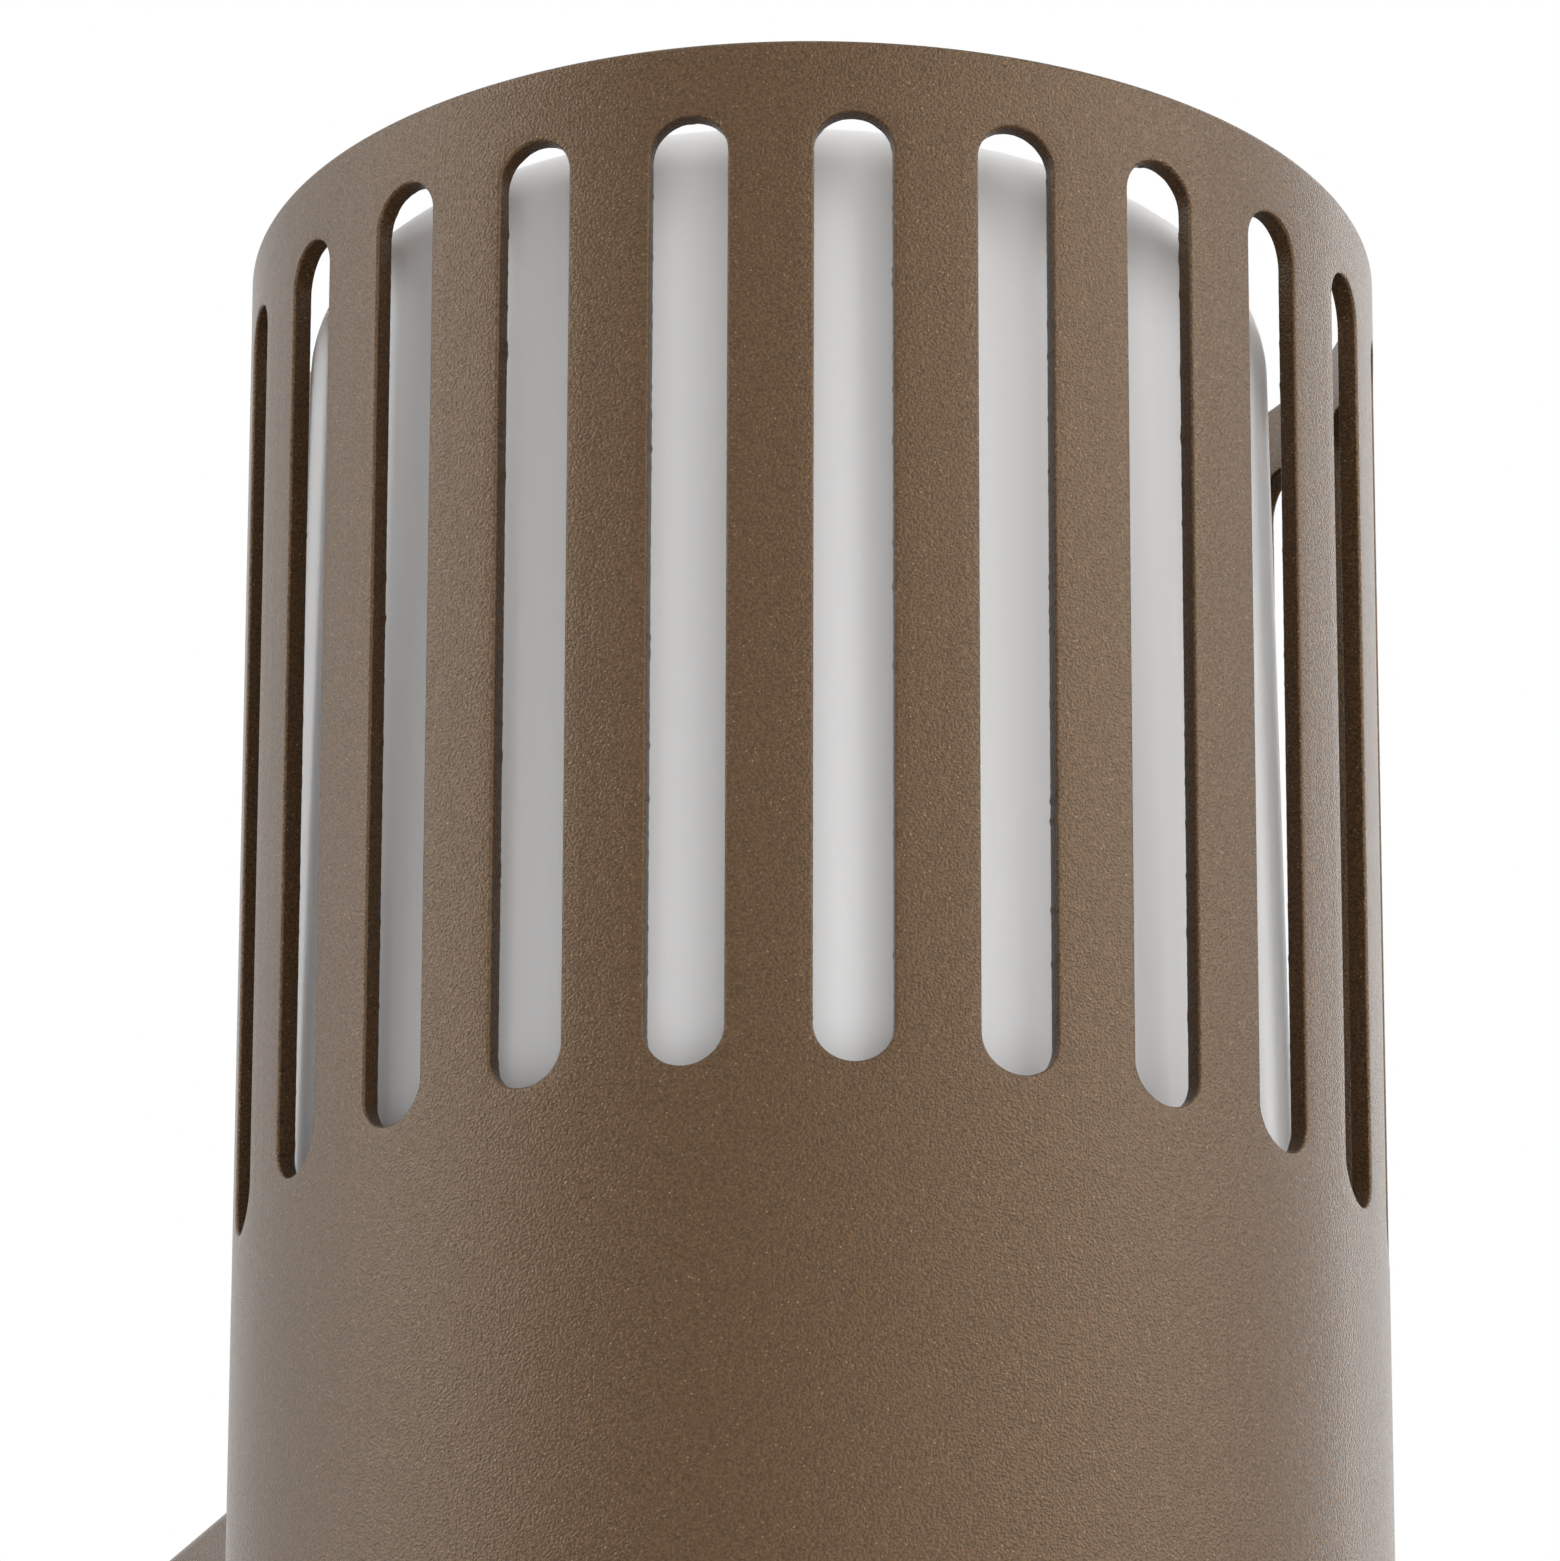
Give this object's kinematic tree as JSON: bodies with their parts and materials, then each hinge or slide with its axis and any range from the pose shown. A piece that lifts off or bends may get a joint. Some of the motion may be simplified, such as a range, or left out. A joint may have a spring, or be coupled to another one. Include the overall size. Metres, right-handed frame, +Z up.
{
  "type": "outdoor wall light",
  "caption": "Outdoor wall light: upright round tube, open at the top, with long slots round its upper part, an opal cup over the lamp inside, and a drafted wall box behind.",
  "frame": {"origin": "centre of the wall plate's back face, in the plane of the wall", "axes": "+Z up along the tube, +Y into the wall, so the light faces -Y, +X to the right seen from the front"},
  "size_m": [0.11, 0.14, 0.216],
  "materials": {
    "brown_powder_coat": "fine sandy powder coat with metallic flecks",
    "opal_plastic": "satin opal",
    "cast_aluminium": "as cast, blasted",
    "black_rubber": "matt",
    "white_thermoset": "moulded, satin",
    "nickel_plate": "nickel plated",
    "brass_contact": "bare",
    "steel_screw": "stainless",
    "zinc_steel": "zinc plated",
    "black_glass": "glossy",
    "bulb_white": "moulded, satin",
    "bulb_opal": "opal",
    "terminal_polyamide": "moulded",
    "lead_brown": "insulation",
    "lead_blue": "insulation",
    "lead_green_yellow": "insulation"
  },
  "bodies": {
    "housing": {"slotted_tube": "brown_powder_coat", "wall_box": "brown_powder_coat", "lamp_carrier": "cast_aluminium", "cup_seal": "black_rubber", "lampholder_body": "white_thermoset", "lampholder_shell": "nickel_plate", "lampholder_contact": "brass_contact", "lampholder_screws": "steel_screw", "bulb_cap": "nickel_plate", "bulb_insulator": "black_glass", "bulb_contact": "brass_contact", "bulb_body": "bulb_white", "bulb_globe": "bulb_opal", "bottom_cap": "brown_powder_coat", "bottom_cap_screws": "steel_screw", "cap_standoffs": "steel_screw", "saddle_gasket": "black_rubber", "clamp_screws": "steel_screw", "clamp_washers": "steel_screw", "lead_grommet": "black_rubber", "wall_plate": "zinc_steel", "wall_gasket": "black_rubber", "box_screws": "steel_screw", "cable_grommet": "black_rubber", "terminal_block": "terminal_polyamide", "terminal_inserts": "brass_contact", "terminal_screws": "steel_screw", "terminal_fixing_screws": "steel_screw", "earth_lug": "brass_contact", "earth_screw": "steel_screw", "live_lead": "lead_brown", "neutral_lead": "lead_blue", "earth_lead": "lead_green_yellow"},
    "diffuser": {"diffuser_cup": "opal_plastic"}
  },
  "joints": [
    {"name": "diffuser_lift", "type": "slide", "parent": "housing", "child": "diffuser", "axis": [0, 0, 1], "range_m": [0, 0.15]}
  ]
}
